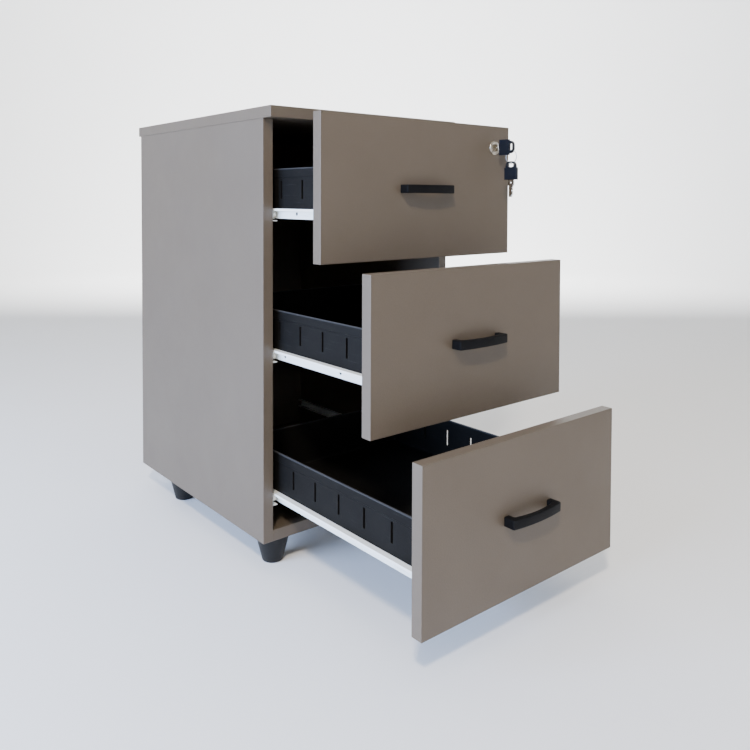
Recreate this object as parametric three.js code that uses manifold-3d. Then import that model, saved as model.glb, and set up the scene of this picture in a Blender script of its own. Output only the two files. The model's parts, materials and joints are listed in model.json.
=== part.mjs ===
import * as THREE from 'three';
import { mergeVertices } from 'three/addons/utils/BufferGeometryUtils.js';
import Module from 'manifold-3d';

// Desk-height office pedestal with three pull-out drawers, in millimetres.
// +X is the right-hand side seen from the front, -Y is the front, +Z is up.
// The feet stand on z = 0. The drawers are pulled out by a different amount each.

// ---------------------------------------------------------------- driving dimensions

// Carcass boards. Depths count from the side panels' front edges, which are at y = 0.
const cabinetWidth = 400;
const sideDepth = 468;
const sideHeight = 666;
const boardThickness = 18;
const backThickness = 12;
const topFrontOverhang = 22;
const topRearOverhang = 10;
const arris = 0.8;

// Feet: a truncated cone with a rounded lower rim.
const footHeight = 50;
const footTopRadius = 28.5;
const footSoleRadius = 14;
const footRimRadius = 3.5;
const footCollar = 3;
const footInset = 42;
const footFrontDepth = 40;
const footRearDepth = 365;

// Drawer fronts and how far each drawer stands open, top drawer first.
const frontWidth = 398;
const frontHeight = 215;
const frontTopGap = 1.5;
const frontGap = 5;
const closedGap = 2;
const drawerOpenings = [130, 240, 337];

// Roller runners, and their heights on the fronts, top drawer first.
// The profile's v = 0 is the tray's underside, u = 0 is the tray's outer side.
const sideClearance = 12.7;
const runnersAboveFrontBottom = [62.5, 59.5, 52];
const sheet = 1.2;
const drawerRunnerLength = 450;
const drawerRunnerHeight = 14;
const drawerRunnerReach = 10;
const drawerRunnerLip = 3.5;
const drawerRunnerShelf = 12;
const runnerHolePitch = 142;
const runnerFirstHole = 83;
const runnerHoleRadius = 2.7;
const runnerHoleHeight = 6.5;
const cabinetRunnerLength = 450;
const cabinetRunnerStart = 2.5;
const channelFloor = -4.5;
const channelRoof = 8.3;
const channelReach = 3;
const channelNotch = 25;
const frontRollerRadius = 7.5;
const frontRollerSetback = 11;
const rearRollerRadius = 6.1;
const rearRollerSetback = 10;
const rollerBoreRadius = 2.7;
const axleRadius = 2.4;
const axleHeadRadius = 3.6;
const axleHeadThickness = 0.8;

// Moulded trays with slots for dividers along both long walls.
const trayHeight = 76.5;
const trayLength = 448;
const trayWall = 2.5;
const trayCorner = 14;
const trayBandHeight = 14;
const trayBandStep = 1;
const trayScrewRoom = 1.3;
const slotFirst = 70;
const slotPitch = 57.6;
const slotCount = 7;
const slotWidth = 4.5;
const slotBottom = 29;
const slotTop = 58;

// Bow handles.
const handleLength = 100;
const handleHeight = 13;
const handleEndReach = 17;
const handleReach = 21;
const handleLegWidth = 10;
const handleGripThickness = 7.5;
const handleEdge = 0.9;
const handleScrewRadius = 2;
const handleScrewDepth = 9;
const handleScrewHeadRadius = 4.2;
const handleScrewHeadHeight = 2.6;

// Cylinder lock in the top drawer's front.
const lockFromRight = 38;
const lockFromTop = 36.5;
const rosetteRadius = 12;
const rosetteThickness = 2.6;
const rosetteSlope = 1.6;
const barrelRadius = 8.9;
const barrelLength = 27;
const plugRadius = 6;
const plugTailRadius = 3;
const keywayWidth = 2.7;
const keywayHeight = 8.7;
const keywayDepth = 24;
const nutAcrossFlats = 22;
const nutThickness = 5;
const camWidth = 12;
const camThickness = 2.5;
const camReach = 46;
const camStart = 27.6;
const camScrewRadius = 1.5;
const camScrewHeadRadius = 4.2;
const camScrewHeadHeight = 2.6;
const strikeDepth = 12;
const strikeRoom = 3;
const strikeSweep = 34;

// Keys and the wire ring that joins them.
const keyThickness = 2;
const keyBladeHeight = 8;
const keyBladeLength = 19;
const keyNeckHeight = 12;
const keyNeckLength = 9.5;
const keyNeckHole = 1.5;
const keyTang = 5;
const keyNotches = [3.5, 7.5, 11.5, 15];
const keyNotchWidth = 2;
const keyHeadThickness = 5;
const keyHeadLength = 20;
const keyHeadHeight = 26;
const keyLoopLength = 10.5;
const keyLoopHeight = 21;
const keyLoopRound = 8;
const keyHoleLength = 7;
const keyHoleHeight = 12.6;
const keyHoleCentre = 24.5;
const keyHoleRound = 3;
const keyHeadEdge = 0.6;
const ringRadius = 11;
const ringWire = 0.6;
const ringClearance = 0.5;

// Clearance between pieces that are seated on each other.
const seat = 0.3;

// ---------------------------------------------------------------- derived places

const innerWidth = cabinetWidth - 2 * boardThickness;
const trayWidth = innerWidth - 2 * sideClearance;
const carcassBottom = footHeight;
const carcassTop = footHeight + sideHeight;
const mostOpen = Math.max(...drawerOpenings);
const frontmost = -(mostOpen + closedGap + boardThickness + seat + handleReach);
const rearmost = sideDepth + topRearOverhang;
const centreDepth = (frontmost + rearmost) / 2;

// ---------------------------------------------------------------- materials

const melamine = new THREE.MeshStandardMaterial({ color: 0x847a6e, roughness: 0.55, metalness: 0 });
const blackPlastic = new THREE.MeshStandardMaterial({ color: 0x1b1c1d, roughness: 0.45, metalness: 0 });
const trayPlastic = new THREE.MeshStandardMaterial({ color: 0x2b2d2e, roughness: 0.5, metalness: 0 });
const whiteSteel = new THREE.MeshStandardMaterial({ color: 0xeceeea, roughness: 0.4, metalness: 0.1 });
const rollerPlastic = new THREE.MeshStandardMaterial({ color: 0xe6e2d4, roughness: 0.5, metalness: 0 });
const nickel = new THREE.MeshStandardMaterial({ color: 0xc9c6be, roughness: 0.25, metalness: 1 });
const zincSteel = new THREE.MeshStandardMaterial({ color: 0xb4b6b8, roughness: 0.35, metalness: 1 });

// ---------------------------------------------------------------- solids and helpers

const wasm = await Module();
wasm.setup();

function toSolid(geometry) {
  const bare = geometry.clone();
  bare.deleteAttribute('normal');
  bare.deleteAttribute('uv');
  const merged = mergeVertices(bare, 1e-4);
  const vertProperties = merged.attributes.position.array;
  const triVerts = Uint32Array.from(merged.index.array);
  return new wasm.Manifold(new wasm.Mesh({ numProp: 3, vertProperties, triVerts }));
}

function toGeometry(solid) {
  const { vertProperties, triVerts } = solid.getMesh();
  const geometry = new THREE.BufferGeometry();
  geometry.setAttribute('position', new THREE.BufferAttribute(vertProperties, 3));
  geometry.setIndex(new THREE.BufferAttribute(triVerts, 1));
  geometry.computeVertexNormals();
  return geometry;
}

function joined(geometries) {
  const solids = geometries.map(toSolid);
  return toGeometry(solids.reduce((whole, piece) => whole.add(piece)));
}

function cut(geometry, cutters) {
  const solids = cutters.map(toSolid);
  return toGeometry(solids.reduce((rest, cutter) => rest.subtract(cutter), toSolid(geometry)));
}

function named(name, geometry, material, x = 0, y = 0, z = 0) {
  const mesh = new THREE.Mesh(geometry, material);
  mesh.name = name;
  mesh.position.set(x, y, z);
  return mesh;
}

function box(low, high) {
  const size = high.map((value, axis) => value - low[axis]);
  const centre = high.map((value, axis) => (value + low[axis]) / 2);
  return new THREE.BoxGeometry(...size).translate(...centre);
}

// A cylinder along X from x = from to x = to, with its axis through (y, z).
function cylinderAlongX(radius, from, to, y, z, segments = 16) {
  const cylinder = new THREE.CylinderGeometry(radius, radius, Math.abs(to - from), segments);
  return cylinder.rotateZ(Math.PI / 2).translate((from + to) / 2, y, z);
}

// A cylinder along Y from y = from to y = to, with its axis through (x, z).
function cylinderAlongY(radius, from, to, x, z, segments = 16) {
  const cylinder = new THREE.CylinderGeometry(radius, radius, to - from, segments);
  return cylinder.translate(x, (from + to) / 2, z);
}

// A board that fills the box from low to high, with every edge broken by a small arris.
function board(low, high) {
  const [width, depth, height] = high.map((value, axis) => value - low[axis]);
  const outline = new THREE.Shape();
  const halfWidth = width / 2 - arris;
  const halfDepth = depth / 2 - arris;
  outline.moveTo(-halfWidth, -halfDepth);
  outline.lineTo(halfWidth, -halfDepth);
  outline.lineTo(halfWidth, halfDepth);
  outline.lineTo(-halfWidth, halfDepth);
  outline.closePath();
  const geometry = new THREE.ExtrudeGeometry(outline, {
    depth: height - 2 * arris,
    bevelThickness: arris,
    bevelSize: arris,
    bevelSegments: 1,
  });
  return geometry.translate((low[0] + high[0]) / 2, (low[1] + high[1]) / 2, low[2] + arris);
}

// A flat outline in (x, z), extruded along Y from y = 0 to y = length.
function extrudeAlongY(outline, length) {
  const geometry = new THREE.ExtrudeGeometry(outline, { depth: length, bevelEnabled: false });
  return geometry.rotateX(Math.PI / 2).translate(0, length, 0);
}

function polygon(points) {
  return new THREE.Shape(points.map(([x, y]) => new THREE.Vector2(x, y)));
}

function roundedRectangle(width, depth, radius) {
  const outline = new THREE.Shape();
  const x = width / 2;
  const y = depth / 2;
  outline.moveTo(-x + radius, -y);
  outline.lineTo(x - radius, -y);
  outline.absarc(x - radius, -y + radius, radius, -Math.PI / 2, 0, false);
  outline.absarc(x - radius, y - radius, radius, 0, Math.PI / 2, false);
  outline.absarc(-x + radius, y - radius, radius, Math.PI / 2, Math.PI, false);
  outline.absarc(-x + radius, -y + radius, radius, Math.PI, Math.PI * 1.5, false);
  return outline;
}

// ---------------------------------------------------------------- carcass

function topPanel() {
  const half = cabinetWidth / 2;
  const panel = board(
    [-half, -topFrontOverhang, carcassTop],
    [half, rearmost, carcassTop + boardThickness],
  );
  return cut(panel, [strikeSlot()]);
}

// The pocket under the top panel that the lock's cam turns into when the top drawer is shut.
function strikeSlot() {
  const [lockX] = lockCentre();
  const camDepth = -closedGap - boardThickness + camStart;
  return box(
    [lockX - strikeSweep, camDepth - strikeRoom, carcassTop - 1],
    [lockX + camWidth / 2 + strikeRoom, camDepth + camThickness + strikeRoom, carcassTop + strikeDepth],
  );
}

function sidePanel(side) {
  const outer = side * cabinetWidth / 2;
  const inner = side * innerWidth / 2;
  return board(
    [Math.min(outer, inner), 0, carcassBottom],
    [Math.max(outer, inner), sideDepth, carcassTop],
  );
}

function bottomPanel() {
  const half = innerWidth / 2;
  return board([-half, 0, carcassBottom], [half, sideDepth - backThickness, carcassBottom + boardThickness]);
}

function backPanel() {
  const half = innerWidth / 2;
  return board([-half, sideDepth - backThickness, carcassBottom], [half, sideDepth, carcassTop]);
}

// A flat sole, a quarter-round rim, a cone and a short straight collar under the carcass.
function foot() {
  const rimSteps = 3;
  const rim = [];
  for (let step = 0; step <= rimSteps; step += 1) {
    const angle = (Math.PI / 2) * (step / rimSteps - 1);
    const radius = footSoleRadius + footRimRadius * Math.cos(angle);
    rim.push(new THREE.Vector2(radius, footRimRadius * (1 + Math.sin(angle))));
  }
  const profile = [
    new THREE.Vector2(0, 0),
    ...rim,
    new THREE.Vector2(footTopRadius, footHeight - footCollar),
    new THREE.Vector2(footTopRadius, footHeight),
    new THREE.Vector2(0, footHeight),
  ];
  return new THREE.LatheGeometry(profile, 32).rotateX(Math.PI / 2);
}

// ---------------------------------------------------------------- runners

// The channel screwed to a side panel. u counts from the tray's side outwards to the panel.
function cabinetRunner(side) {
  const wallOuter = sideClearance - seat;
  const wallInner = wallOuter - sheet;
  const section = polygon([
    [channelReach, channelFloor - sheet],
    [wallOuter, channelFloor - sheet],
    [wallOuter, channelRoof + sheet],
    [channelReach, channelRoof + sheet],
    [channelReach, channelRoof],
    [wallInner, channelRoof],
    [wallInner, channelFloor],
    [channelReach, channelFloor],
  ].map(([u, v]) => [side * u, v]));
  const channel = extrudeAlongY(section, cabinetRunnerLength);
  const notch = box(
    [Math.min(0, side * wallInner), -1, channelRoof - 1],
    [Math.max(0, side * wallInner), channelNotch, channelRoof + sheet + 1],
  );
  const axleHeight = frontRollerHeight();
  const headStart = sheet + seat;
  const headEnd = headStart + axleHeadThickness;
  const axle = joined([
    cylinderAlongX(
      axleRadius, side * headStart, side * (wallInner + sheet / 2), frontRollerSetback, axleHeight,
    ),
    cylinderAlongX(
      axleHeadRadius, side * headStart, side * headEnd, frontRollerSetback, axleHeight,
    ),
  ]);
  return joined([cut(channel, [notch]), axle]);
}

// The rail under and beside the tray, with a hooked upper edge that rides on the front roller.
function drawerRunner(side) {
  const top = drawerRunnerHeight;
  const hook = drawerRunnerReach;
  const section = polygon([
    [-drawerRunnerShelf, -sheet - seat],
    [sheet, -sheet - seat],
    [sheet, top - sheet],
    [hook - sheet, top - sheet],
    [hook - sheet, top - drawerRunnerLip],
    [hook, top - drawerRunnerLip],
    [hook, top],
    [seat, top],
    [seat, -seat],
    [-drawerRunnerShelf, -seat],
  ].map(([u, v]) => [side * u, v]));
  const rail = extrudeAlongY(section, drawerRunnerLength - seat).translate(0, seat, 0);
  const holes = [];
  for (let y = runnerFirstHole; y < drawerRunnerLength - runnerHolePitch / 2; y += runnerHolePitch) {
    holes.push(cylinderAlongX(runnerHoleRadius, -side, side * 2 * sheet, y, runnerHoleHeight));
  }
  const y = drawerRunnerLength - rearRollerSetback;
  const headStart = rollerEnd() + seat;
  const headEnd = headStart + axleHeadThickness;
  const axle = joined([
    cylinderAlongX(axleRadius, side * sheet / 2, side * headEnd, y, rearRollerHeight()),
    cylinderAlongX(axleHeadRadius, side * headStart, side * headEnd, y, rearRollerHeight()),
  ]);
  return joined([cut(rail, holes), axle]);
}

function frontRollerHeight() {
  return drawerRunnerHeight - sheet - seat - frontRollerRadius;
}

function rearRollerHeight() {
  return channelFloor + seat + rearRollerRadius;
}

// Where the two kinds of roller start and end, as u from the tray's side.
function rollerStart() {
  return sheet + seat + axleHeadThickness + seat;
}

function rollerEnd() {
  return drawerRunnerReach - sheet - seat;
}

function roller(radius) {
  const half = (rollerEnd() - rollerStart()) / 2;
  const profile = [
    new THREE.Vector2(rollerBoreRadius, -half),
    new THREE.Vector2(radius, -half),
    new THREE.Vector2(radius, half),
    new THREE.Vector2(rollerBoreRadius, half),
    new THREE.Vector2(rollerBoreRadius, -half),
  ];
  return new THREE.LatheGeometry(profile, 24).rotateZ(Math.PI / 2);
}

// ---------------------------------------------------------------- drawers

function frontBottom(index) {
  return carcassTop - frontTopGap - (index + 1) * frontHeight - index * frontGap;
}

// Drawer pieces count y from the front's back face and z from the front's lower edge.
function drawerFront(hasLock) {
  const half = frontWidth / 2;
  const panel = board([-half, -boardThickness, 0], [half, 0, frontHeight]);
  const holes = handleScrewPlaces().map((x) => (
    cylinderAlongY(handleScrewRadius + seat, -boardThickness - 1, 1, x, frontHeight / 2)
  ));
  if (hasLock) {
    const [x, z] = lockCentre();
    holes.push(cylinderAlongY(barrelRadius + seat, -boardThickness - 1, 1, x, z, 32));
  }
  return cut(panel, holes);
}

// The tray's underside is at z = 0 and its middle is at x = 0.
function tray(runnerHeight) {
  const middle = trayBandStep + seat + trayLength / 2;
  const cup = new THREE.ExtrudeGeometry(
    roundedRectangle(trayWidth, trayLength, trayCorner),
    { depth: trayHeight - trayBandHeight + 1, bevelEnabled: false, curveSegments: 5 },
  );
  const band = new THREE.ExtrudeGeometry(
    roundedRectangle(trayWidth + 2 * trayBandStep, trayLength + 2 * trayBandStep, trayCorner + trayBandStep),
    { depth: trayBandHeight, bevelEnabled: false, curveSegments: 5 },
  ).translate(0, 0, trayHeight - trayBandHeight);
  const hollow = new THREE.ExtrudeGeometry(
    roundedRectangle(trayWidth - 2 * trayWall, trayLength - 2 * trayWall, trayCorner - trayWall),
    { depth: trayHeight, bevelEnabled: false, curveSegments: 5 },
  ).translate(0, 0, trayWall);
  const shell = cut(joined([cup, band]).translate(0, middle, 0), [hollow.translate(0, middle, 0)]);
  const slots = [];
  for (let count = 0; count < slotCount; count += 1) {
    const y = slotFirst + count * slotPitch;
    slots.push(box([-trayWidth, y - slotWidth / 2, slotBottom], [trayWidth, y + slotWidth / 2, slotTop]));
  }
  const screwHeight = frontHeight / 2 - runnerHeight;
  const screwRoom = handleScrewHeadRadius + trayScrewRoom;
  const screwHoles = handleScrewPlaces().map((x) => (
    cylinderAlongY(screwRoom, -1, 2 * (trayBandStep + trayWall), x, screwHeight)
  ));
  return cut(shell, [...slots, ...screwHoles]);
}

function handleScrewPlaces() {
  const place = handleLength / 2 - handleLegWidth / 2;
  return [-place, place];
}

// A bow seen from above: two legs and a grip that bulges away from the front.
function handle() {
  const end = handleLength / 2;
  const legInner = end - handleLegWidth;
  const bow = handleReach - handleEndReach;
  const corner = 2.5;
  const gapCorner = 4;
  const outline = new THREE.Shape();
  outline.moveTo(-end, 0);
  outline.lineTo(-legInner, 0);
  outline.lineTo(-legInner, -(handleEndReach - handleGripThickness - gapCorner));
  outline.quadraticCurveTo(
    -legInner, -(handleEndReach - handleGripThickness),
    -legInner + gapCorner, -(handleEndReach - handleGripThickness),
  );
  outline.quadraticCurveTo(
    0, -(handleReach + bow - handleGripThickness),
    legInner - gapCorner, -(handleEndReach - handleGripThickness),
  );
  outline.quadraticCurveTo(
    legInner, -(handleEndReach - handleGripThickness),
    legInner, -(handleEndReach - handleGripThickness - gapCorner),
  );
  outline.lineTo(legInner, 0);
  outline.lineTo(end, 0);
  outline.lineTo(end, -(handleEndReach - corner));
  outline.quadraticCurveTo(end, -handleEndReach, end - corner, -handleEndReach);
  outline.quadraticCurveTo(0, -(handleReach + bow), -end + corner, -handleEndReach);
  outline.quadraticCurveTo(-end, -handleEndReach, -end, -(handleEndReach - corner));
  const bar = new THREE.ExtrudeGeometry(outline, {
    depth: handleHeight - 2 * handleEdge,
    bevelThickness: handleEdge,
    bevelSize: handleEdge,
    bevelOffset: -handleEdge,
    bevelSegments: 1,
    curveSegments: 8,
  }).translate(0, 0, -handleHeight / 2 + handleEdge);
  const holes = handleScrewPlaces().map((x) => (
    cylinderAlongY(handleScrewRadius + seat, -handleScrewDepth, 1, x, 0)
  ));
  return cut(bar, holes);
}

// A screw through a drawer's front into a handle's leg, with its head behind the front.
function handleScrew() {
  const tip = -boardThickness - handleScrewDepth + 1;
  const profile = [
    new THREE.Vector2(0, tip),
    new THREE.Vector2(handleScrewRadius, tip),
    new THREE.Vector2(handleScrewRadius, seat),
    new THREE.Vector2(handleScrewHeadRadius, seat),
    new THREE.Vector2(handleScrewHeadRadius, handleScrewHeadHeight / 2),
    new THREE.Vector2(handleScrewHeadRadius * 0.6, handleScrewHeadHeight),
    new THREE.Vector2(0, handleScrewHeadHeight),
  ];
  return new THREE.LatheGeometry(profile, 14);
}

// ---------------------------------------------------------------- lock and keys

// The lock's axis, as x and as z above the front's lower edge.
function lockCentre() {
  return [cabinetWidth / 2 - lockFromRight, frontHeight - lockFromTop];
}

// Lock pieces count y from the drawer front's outer face, positive into the drawer.
function lockHousing() {
  const bore = plugRadius + seat;
  const profile = [
    new THREE.Vector2(bore, -rosetteThickness),
    new THREE.Vector2(rosetteRadius - rosetteSlope, -rosetteThickness),
    new THREE.Vector2(rosetteRadius - rosetteSlope / 4, -rosetteThickness * 0.7),
    new THREE.Vector2(rosetteRadius, -rosetteThickness * 0.3),
    new THREE.Vector2(rosetteRadius, -seat),
    new THREE.Vector2(barrelRadius, -seat),
    new THREE.Vector2(barrelRadius, barrelLength),
    new THREE.Vector2(bore, barrelLength),
    new THREE.Vector2(bore, -rosetteThickness),
  ];
  return new THREE.LatheGeometry(profile, 32);
}

function lockNut() {
  const corner = nutAcrossFlats / 2 / Math.cos(Math.PI / 6);
  const points = [];
  for (let count = 0; count < 6; count += 1) {
    const angle = (Math.PI / 3) * count;
    points.push([corner * Math.cos(angle), corner * Math.sin(angle)]);
  }
  const hexagon = extrudeAlongY(polygon(points), nutThickness);
  return cut(hexagon, [cylinderAlongY(barrelRadius + seat, -1, nutThickness + 1, 0, 0, 32)]);
}

// The turning core: a keyway in front, a tail that holds the cam behind.
function lockPlug() {
  const core = cylinderAlongY(plugRadius, -rosetteThickness + 0.5, camStart - seat, 0, 0, 32);
  const tail = cylinderAlongY(plugTailRadius, camStart - 1, camStart + camThickness, 0, 0);
  const keyway = box(
    [-keywayWidth / 2, -rosetteThickness - 1, -keywayHeight / 2],
    [keywayWidth / 2, keywayDepth, keywayHeight / 2],
  );
  const thread = cylinderAlongY(camScrewRadius + seat, camStart - 1.5, camStart + camThickness + 1, 0, 0);
  return cut(joined([core, tail]), [keyway, thread]);
}

// A flat tongue that points to -X when unlocked.
function lockCam() {
  const half = camWidth / 2;
  const tip = 3;
  const outline = new THREE.Shape();
  outline.absarc(0, 0, half, -Math.PI / 2, Math.PI / 2, false);
  outline.lineTo(-camReach + tip, half);
  outline.lineTo(-camReach, half - tip);
  outline.lineTo(-camReach, -half);
  outline.closePath();
  const tongue = extrudeAlongY(outline, camThickness - seat);
  return cut(tongue, [cylinderAlongY(plugTailRadius + seat, -1, camThickness + 1, 0, 0)]);
}

function camScrew() {
  const profile = [
    new THREE.Vector2(0, -1),
    new THREE.Vector2(camScrewRadius, -1),
    new THREE.Vector2(camScrewRadius, camThickness + seat),
    new THREE.Vector2(camScrewHeadRadius, camThickness + seat),
    new THREE.Vector2(camScrewHeadRadius, camThickness + camScrewHeadHeight * 0.6),
    new THREE.Vector2(camScrewHeadRadius * 0.7, camThickness + camScrewHeadHeight),
    new THREE.Vector2(0, camThickness + camScrewHeadHeight),
  ];
  return new THREE.LatheGeometry(profile, 14);
}

// Key pieces count y from the key's shoulder: the blade is at y > 0, the head at y < 0.
function keyBlade() {
  const half = keyThickness / 2;
  const blade = box([-half, -1, -keyBladeHeight / 2], [half, keyBladeLength, keyBladeHeight / 2]);
  const neck = box(
    [-half, -keyNeckLength - keyTang, -keyNeckHeight / 2],
    [half, 0, keyNeckHeight / 2],
  );
  const notches = keyNotches.map((y, index) => (
    box(
      [-keyThickness, y, -keyBladeHeight],
      [keyThickness, y + keyNotchWidth, -keyBladeHeight / 2 + 1 + (index % 2)],
    )
  ));
  const pointSide = 3;
  const point = box([-keyThickness, -pointSide, -pointSide], [keyThickness, pointSide, pointSide]);
  point.rotateX(Math.PI / 4).translate(0, keyBladeLength + 1, -keyBladeHeight / 2);
  const eye = cylinderAlongX(keyNeckHole, -keyThickness, keyThickness, -keyNeckLength / 2, 0);
  return cut(joined([blade, neck]), [...notches, point, eye]);
}

// A moulded block with a loop at its end, drawn as distance from its blade end against height.
function keyHead() {
  const halfBlock = keyHeadHeight / 2;
  const halfLoop = keyLoopHeight / 2;
  const end = keyHeadLength + keyLoopLength;
  const round = keyLoopRound;
  const block = new THREE.Shape();
  block.moveTo(0, -halfBlock);
  block.lineTo(keyHeadLength, -halfBlock);
  block.lineTo(keyHeadLength, -halfLoop);
  block.lineTo(end - round, -halfLoop);
  block.absarc(end - round, -halfLoop + round, round, -Math.PI / 2, 0, false);
  block.absarc(end - round, halfLoop - round, round, 0, Math.PI / 2, false);
  block.lineTo(keyHeadLength, halfLoop);
  block.lineTo(keyHeadLength, halfBlock);
  block.lineTo(0, halfBlock);
  block.closePath();
  const hole = roundedRectangle(keyHoleLength, keyHoleHeight, keyHoleRound);
  const moulding = new THREE.ExtrudeGeometry(block, {
    depth: keyHeadThickness - 2 * keyHeadEdge,
    bevelThickness: keyHeadEdge,
    bevelSize: keyHeadEdge,
    bevelOffset: -keyHeadEdge,
    bevelSegments: 1,
    curveSegments: 6,
  }).translate(0, 0, -keyHeadThickness / 2 + keyHeadEdge);
  const eye = new THREE.ExtrudeGeometry(hole, {
    depth: 2 * keyHeadThickness,
    bevelEnabled: false,
    curveSegments: 5,
  });
  const shaped = cut(moulding, [eye.translate(keyHoleCentre, 0, -keyHeadThickness)]);
  // Distance becomes -Y, height becomes Z and thickness becomes X.
  shaped.rotateZ(-Math.PI / 2).rotateY(Math.PI / 2);
  const pocket = box(
    [-keyThickness / 2 - seat, -keyTang - seat, -keyNeckHeight / 2 - seat],
    [keyThickness / 2 + seat, 1, keyNeckHeight / 2 + seat],
  );
  return cut(shaped, [pocket]).translate(0, -keyNeckLength, 0);
}

function keyRing() {
  return new THREE.TorusGeometry(ringRadius, ringWire, 6, 36).rotateX(Math.PI / 2);
}

// The lock, the key in it and the spare key that hangs from the ring.
function lockGroup() {
  const group = new THREE.Group();
  const rear = boardThickness + seat;
  group.add(named('lock_housing', lockHousing(), nickel));
  group.add(named('lock_nut', lockNut(), zincSteel, 0, rear, 0));
  group.add(named('lock_plug', lockPlug(), nickel));
  group.add(named('lock_cam', lockCam(), zincSteel, 0, camStart + seat / 2, 0));
  group.add(named('cam_screw', camScrew(), zincSteel, 0, camStart, 0));

  const shoulder = -rosetteThickness - seat;
  group.add(named('key_blade', keyBlade(), nickel, 0, shoulder, 0));
  group.add(named('key_head', keyHead(), blackPlastic, 0, shoulder, 0));

  const ringDepth = shoulder - keyNeckLength - keyHoleCentre;
  const ringTop = -keyHoleHeight / 2 + ringWire + ringClearance;
  group.add(named('key_ring', keyRing(), zincSteel, 0, ringDepth, ringTop - ringRadius));

  const ringBottom = ringTop - 2 * ringRadius;
  const holeTop = ringBottom + ringWire + ringClearance;
  const spare = new THREE.Group();
  spare.rotation.x = -Math.PI / 2;
  spare.position.set(0, ringDepth, holeTop - keyHoleLength / 2 - keyHoleCentre - keyNeckLength);
  spare.add(named('spare_key_blade', keyBlade(), nickel));
  spare.add(named('spare_key_head', keyHead(), blackPlastic));
  group.add(spare);
  return group;
}

// ---------------------------------------------------------------- assembly

const drawerNames = ['top', 'middle', 'bottom'];
const sides = [{ word: 'left', sign: -1 }, { word: 'right', sign: 1 }];

function carcassGroup() {
  const group = new THREE.Group();
  group.add(named('top_panel', topPanel(), melamine));
  sides.forEach(({ word, sign }) => {
    group.add(named(`${word}_side_panel`, sidePanel(sign), melamine));
  });
  group.add(named('bottom_panel', bottomPanel(), melamine));
  group.add(named('back_panel', backPanel(), melamine));
  const rows = [{ word: 'front', y: footFrontDepth }, { word: 'rear', y: footRearDepth }];
  rows.forEach((row) => {
    sides.forEach(({ word, sign }) => {
      const x = sign * (cabinetWidth / 2 - footInset);
      group.add(named(`foot_${row.word}_${word}`, foot(), blackPlastic, x, row.y, 0));
    });
  });
  return group;
}

// The channels and front rollers that stay in the carcass, at one drawer's height.
function fixedRunners(name, index) {
  const group = new THREE.Group();
  group.position.set(0, cabinetRunnerStart, frontBottom(index) + runnersAboveFrontBottom[index]);
  sides.forEach(({ word, sign }) => {
    const x = sign * trayWidth / 2;
    const rollerX = x + sign * (rollerStart() + rollerEnd()) / 2;
    group.add(named(`${name}_cabinet_runner_${word}`, cabinetRunner(sign), whiteSteel, x, 0, 0));
    group.add(named(
      `${name}_front_roller_${word}`, roller(frontRollerRadius), rollerPlastic,
      rollerX, frontRollerSetback, frontRollerHeight(),
    ));
  });
  return group;
}

function drawerGroup(name, index) {
  const group = new THREE.Group();
  group.position.set(0, -closedGap - drawerOpenings[index], frontBottom(index));
  const hasLock = index === 0;
  const runnerHeight = runnersAboveFrontBottom[index];
  group.add(named(`${name}_drawer_front`, drawerFront(hasLock), melamine));
  group.add(named(`${name}_drawer_tray`, tray(runnerHeight), trayPlastic, 0, 0, runnerHeight));
  const handleHeightUp = frontHeight / 2;
  group.add(named(`${name}_handle`, handle(), blackPlastic, 0, -boardThickness - seat, handleHeightUp));
  handleScrewPlaces().forEach((x, count) => {
    const screwName = `${name}_handle_screw_${sides[count].word}`;
    group.add(named(screwName, handleScrew(), zincSteel, x, 0, handleHeightUp));
  });
  sides.forEach(({ word, sign }) => {
    const x = sign * trayWidth / 2;
    const rollerX = x + sign * (rollerStart() + rollerEnd()) / 2;
    const runnerName = `${name}_drawer_runner_${word}`;
    group.add(named(runnerName, drawerRunner(sign), whiteSteel, x, 0, runnerHeight));
    group.add(named(
      `${name}_rear_roller_${word}`, roller(rearRollerRadius), rollerPlastic,
      rollerX, drawerRunnerLength - rearRollerSetback, runnerHeight + rearRollerHeight(),
    ));
  });
  if (hasLock) {
    const [x, z] = lockCentre();
    const lock = lockGroup();
    lock.position.set(x, -boardThickness, z);
    group.add(lock);
  }
  return group;
}

const pedestal = new THREE.Group();
pedestal.position.y = -centreDepth;
pedestal.add(carcassGroup());
drawerNames.forEach((name, index) => {
  pedestal.add(fixedRunners(name, index));
  pedestal.add(drawerGroup(name, index));
});

export default pedestal;
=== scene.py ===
import json
import math
import bmesh
import bpy
import numpy as np
from mathutils import Matrix, Vector


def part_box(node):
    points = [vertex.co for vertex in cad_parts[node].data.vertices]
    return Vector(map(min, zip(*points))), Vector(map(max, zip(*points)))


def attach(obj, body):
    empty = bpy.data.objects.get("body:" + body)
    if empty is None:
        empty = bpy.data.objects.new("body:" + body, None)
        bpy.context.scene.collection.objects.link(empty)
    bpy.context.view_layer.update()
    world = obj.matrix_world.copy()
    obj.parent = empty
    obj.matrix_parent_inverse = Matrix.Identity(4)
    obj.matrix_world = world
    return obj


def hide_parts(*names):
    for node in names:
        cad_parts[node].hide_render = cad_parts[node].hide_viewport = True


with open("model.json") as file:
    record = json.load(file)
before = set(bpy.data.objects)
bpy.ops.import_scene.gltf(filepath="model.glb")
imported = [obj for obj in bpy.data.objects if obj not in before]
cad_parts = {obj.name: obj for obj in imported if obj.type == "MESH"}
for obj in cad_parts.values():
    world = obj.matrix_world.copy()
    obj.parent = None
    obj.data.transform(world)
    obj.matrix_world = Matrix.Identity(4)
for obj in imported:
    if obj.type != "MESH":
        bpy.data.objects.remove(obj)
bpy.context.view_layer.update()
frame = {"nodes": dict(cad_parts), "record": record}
nodes = frame["nodes"]
bodyOfNode = {n: b for b, members in frame["record"]["behaviour"]["bodies"].items() for n in members}
mm = 0.001
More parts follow.
